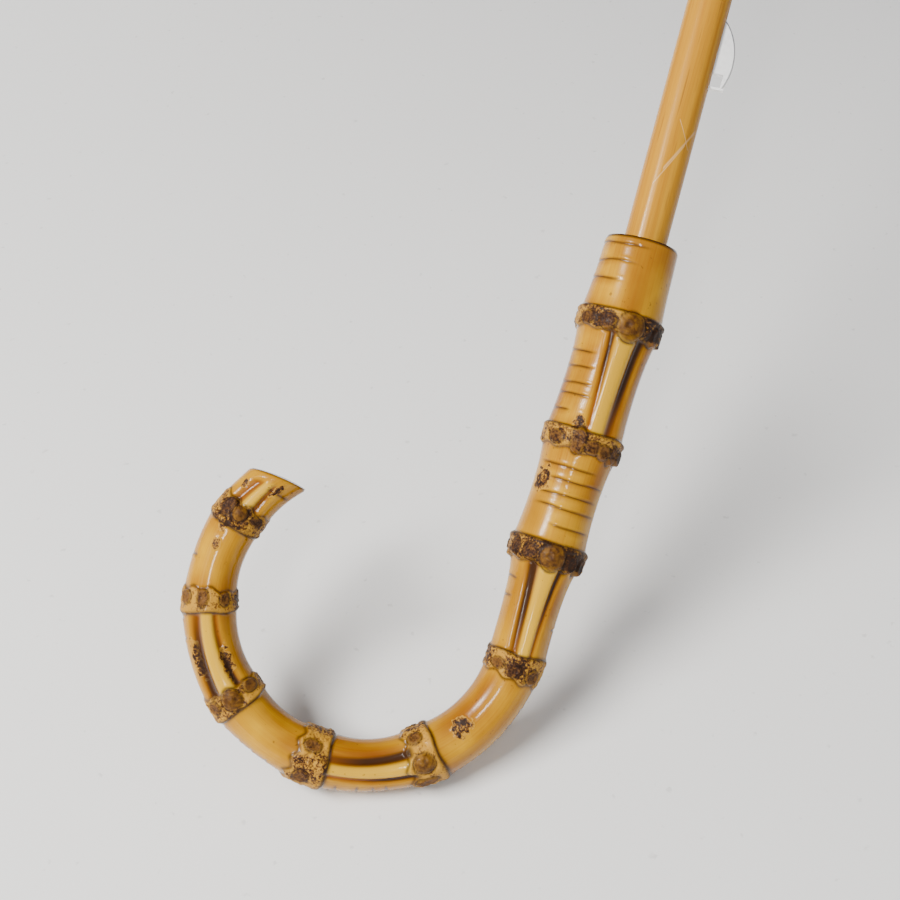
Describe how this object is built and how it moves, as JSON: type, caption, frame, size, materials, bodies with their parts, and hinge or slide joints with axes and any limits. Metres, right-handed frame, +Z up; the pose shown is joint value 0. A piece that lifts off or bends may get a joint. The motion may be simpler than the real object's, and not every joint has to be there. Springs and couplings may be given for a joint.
{
  "type": "stick umbrella",
  "caption": "Open stick umbrella with a crook handle of root bamboo, wooden shaft, sliding runner, folding steel ribs and a cloth canopy.",
  "frame": {"origin": "middle of the whole object's box, on the floor that it rests on", "axes": "+Z up from the floor; the shaft leans in the XZ plane and rises towards +X; the crook opens towards +Y"},
  "size_m": [0.7792, 0.9896, 0.7487],
  "materials": {
    "bamboo": "glossy lacquered root bamboo",
    "shaft_wood": "varnished pale wood",
    "bright_steel": "nickel-plated steel",
    "rib_steel": "nickel-plated spring steel",
    "cloth": "navy woven polyester",
    "felt": "navy felt"
  },
  "bodies": {
    "root": {"shaft": "shaft_wood", "handle": "bamboo", "hand_spring_pin": "bright_steel", "top_spring_pin": "bright_steel", "stop_pin": "bright_steel", "top_notch": "bright_steel", "notch_wire": "bright_steel", "notch_pin": "bright_steel", "crown_washer": "felt", "open_cap": "bright_steel", "ferrule": "bright_steel", "ferrule_tip": "bright_steel"},
    "runner": {"runner_tube": "bright_steel", "runner_crown": "bright_steel", "runner_wire": "bright_steel"},
    "hand_spring": {"hand_spring": "bright_steel"},
    "top_spring": {"top_spring": "bright_steel"},
    "rib_1": {"rib_1": "rib_steel", "rib_tip_1": "bright_steel", "rib_rivet_1": "rib_steel", "canopy_gore_1": "cloth", "tie_strap": "cloth", "strap_snap": "bright_steel"},
    "stretcher_1": {"stretcher_1": "rib_steel"},
    "rib_2": {"rib_2": "rib_steel", "rib_tip_2": "bright_steel", "rib_rivet_2": "rib_steel", "canopy_gore_2": "cloth"},
    "stretcher_2": {"stretcher_2": "rib_steel"},
    "rib_3": {"rib_3": "rib_steel", "rib_tip_3": "bright_steel", "rib_rivet_3": "rib_steel", "canopy_gore_3": "cloth"},
    "stretcher_3": {"stretcher_3": "rib_steel"},
    "rib_4": {"rib_4": "rib_steel", "rib_tip_4": "bright_steel", "rib_rivet_4": "rib_steel", "canopy_gore_4": "cloth"},
    "stretcher_4": {"stretcher_4": "rib_steel"},
    "rib_5": {"rib_5": "rib_steel", "rib_tip_5": "bright_steel", "rib_rivet_5": "rib_steel", "canopy_gore_5": "cloth"},
    "stretcher_5": {"stretcher_5": "rib_steel"},
    "rib_6": {"rib_6": "rib_steel", "rib_tip_6": "bright_steel", "rib_rivet_6": "rib_steel", "canopy_gore_6": "cloth"},
    "stretcher_6": {"stretcher_6": "rib_steel"},
    "rib_7": {"rib_7": "rib_steel", "rib_tip_7": "bright_steel", "rib_rivet_7": "rib_steel", "canopy_gore_7": "cloth"},
    "stretcher_7": {"stretcher_7": "rib_steel"},
    "rib_8": {"rib_8": "rib_steel", "rib_tip_8": "bright_steel", "rib_rivet_8": "rib_steel", "canopy_gore_8": "cloth"},
    "stretcher_8": {"stretcher_8": "rib_steel"}
  },
  "joints": [
    {"name": "runner_slide", "type": "slide", "parent": "root", "child": "runner", "axis": [-0.7553, 0, -0.6554], "range_m": [0, 0.37155]},
    {"name": "rib_1_fold", "type": "hinge", "parent": "root", "child": "rib_1", "pos_m": [0.20736, -0.00402, 0.51126], "axis": [0.2508, -0.9239, -0.289], "range_deg": [0, 69.02], "deforming": ["canopy_gore_1"]},
    {"name": "stretcher_1_fold", "type": "hinge", "parent": "rib_1", "child": "stretcher_1", "pos_m": [0.00748, -0.09799, 0.6382], "axis": [-0.2508, 0.9239, 0.289], "range_deg": [0, 138.04]},
    {"name": "rib_2_fold", "type": "hinge", "parent": "root", "child": "rib_2", "pos_m": [0.21108, -0.0097, 0.50697], "axis": [0.6055, -0.3827, -0.6978], "range_deg": [0, 69.02], "deforming": ["canopy_gore_2"]},
    {"name": "stretcher_2_fold", "type": "hinge", "parent": "rib_2", "child": "stretcher_2", "pos_m": [0.09831, -0.23658, 0.53353], "axis": [-0.6055, 0.3827, 0.6978], "range_deg": [0, 138.04]},
    {"name": "rib_3_fold", "type": "hinge", "parent": "root", "child": "rib_3", "pos_m": [0.21635, -0.0097, 0.5009], "axis": [0.6055, 0.3827, -0.6978], "range_deg": [0, 69.02], "deforming": ["canopy_gore_3"]},
    {"name": "stretcher_3_fold", "type": "hinge", "parent": "rib_3", "child": "stretcher_3", "pos_m": [0.22676, -0.23658, 0.38551], "axis": [-0.6055, -0.3827, 0.6978], "range_deg": [0, 138.04]},
    {"name": "rib_4_fold", "type": "hinge", "parent": "root", "child": "rib_4", "pos_m": [0.22007, -0.00402, 0.49661], "axis": [0.2508, 0.9239, -0.289], "range_deg": [0, 69.02], "deforming": ["canopy_gore_4"]},
    {"name": "stretcher_4_fold", "type": "hinge", "parent": "rib_4", "child": "stretcher_4", "pos_m": [0.31759, -0.09799, 0.28084], "axis": [-0.2508, -0.9239, 0.289], "range_deg": [0, 138.04]},
    {"name": "rib_5_fold", "type": "hinge", "parent": "root", "child": "rib_5", "pos_m": [0.22007, 0.00402, 0.49661], "axis": [-0.2508, 0.9239, 0.289], "range_deg": [0, 69.02], "deforming": ["canopy_gore_5"]},
    {"name": "stretcher_5_fold", "type": "hinge", "parent": "rib_5", "child": "stretcher_5", "pos_m": [0.31759, 0.09799, 0.28084], "axis": [0.2508, -0.9239, -0.289], "range_deg": [0, 138.04]},
    {"name": "rib_6_fold", "type": "hinge", "parent": "root", "child": "rib_6", "pos_m": [0.21635, 0.0097, 0.5009], "axis": [-0.6055, 0.3827, 0.6978], "range_deg": [0, 69.02], "deforming": ["canopy_gore_6"]},
    {"name": "stretcher_6_fold", "type": "hinge", "parent": "rib_6", "child": "stretcher_6", "pos_m": [0.22676, 0.23658, 0.38551], "axis": [0.6055, -0.3827, -0.6978], "range_deg": [0, 138.04]},
    {"name": "rib_7_fold", "type": "hinge", "parent": "root", "child": "rib_7", "pos_m": [0.21108, 0.0097, 0.50697], "axis": [-0.6055, -0.3827, 0.6978], "range_deg": [0, 69.02], "deforming": ["canopy_gore_7"]},
    {"name": "stretcher_7_fold", "type": "hinge", "parent": "rib_7", "child": "stretcher_7", "pos_m": [0.09831, 0.23658, 0.53353], "axis": [0.6055, 0.3827, -0.6978], "range_deg": [0, 138.04]},
    {"name": "rib_8_fold", "type": "hinge", "parent": "root", "child": "rib_8", "pos_m": [0.20736, 0.00402, 0.51126], "axis": [-0.2508, -0.9239, 0.289], "range_deg": [0, 69.02], "deforming": ["canopy_gore_8"]},
    {"name": "stretcher_8_fold", "type": "hinge", "parent": "rib_8", "child": "stretcher_8", "pos_m": [0.00748, 0.09799, 0.6382], "axis": [0.2508, 0.9239, -0.289], "range_deg": [0, 138.04]},
    {"name": "hand_spring_press", "type": "hinge", "parent": "root", "child": "hand_spring", "pos_m": [-0.16567, -0.004, 0.17443], "axis": [0.6545, 0.0523, -0.7542], "range_deg": [0, 8], "stiffness_Nm_per_rad": 0.5, "springref_deg": -5.73},
    {"name": "top_spring_press", "type": "hinge", "parent": "root", "child": "top_spring", "pos_m": [0.04012, -0.004, 0.35301], "axis": [-0.6545, -0.0523, 0.7542], "range_deg": [0, 8], "stiffness_Nm_per_rad": 0.5, "springref_deg": -5.73}
  ],
  "couplings": [
    {"joint": "rib_1_fold", "follows": "runner_slide", "rad_per_m": 3.2412},
    {"joint": "stretcher_1_fold", "follows": "runner_slide", "rad_per_m": 6.4824},
    {"joint": "rib_2_fold", "follows": "runner_slide", "rad_per_m": 3.2412},
    {"joint": "stretcher_2_fold", "follows": "runner_slide", "rad_per_m": 6.4824},
    {"joint": "rib_3_fold", "follows": "runner_slide", "rad_per_m": 3.2412},
    {"joint": "stretcher_3_fold", "follows": "runner_slide", "rad_per_m": 6.4824},
    {"joint": "rib_4_fold", "follows": "runner_slide", "rad_per_m": 3.2412},
    {"joint": "stretcher_4_fold", "follows": "runner_slide", "rad_per_m": 6.4824},
    {"joint": "rib_5_fold", "follows": "runner_slide", "rad_per_m": 3.2412},
    {"joint": "stretcher_5_fold", "follows": "runner_slide", "rad_per_m": 6.4824},
    {"joint": "rib_6_fold", "follows": "runner_slide", "rad_per_m": 3.2412},
    {"joint": "stretcher_6_fold", "follows": "runner_slide", "rad_per_m": 6.4824},
    {"joint": "rib_7_fold", "follows": "runner_slide", "rad_per_m": 3.2412},
    {"joint": "stretcher_7_fold", "follows": "runner_slide", "rad_per_m": 6.4824},
    {"joint": "rib_8_fold", "follows": "runner_slide", "rad_per_m": 3.2412},
    {"joint": "stretcher_8_fold", "follows": "runner_slide", "rad_per_m": 6.4824}
  ]
}
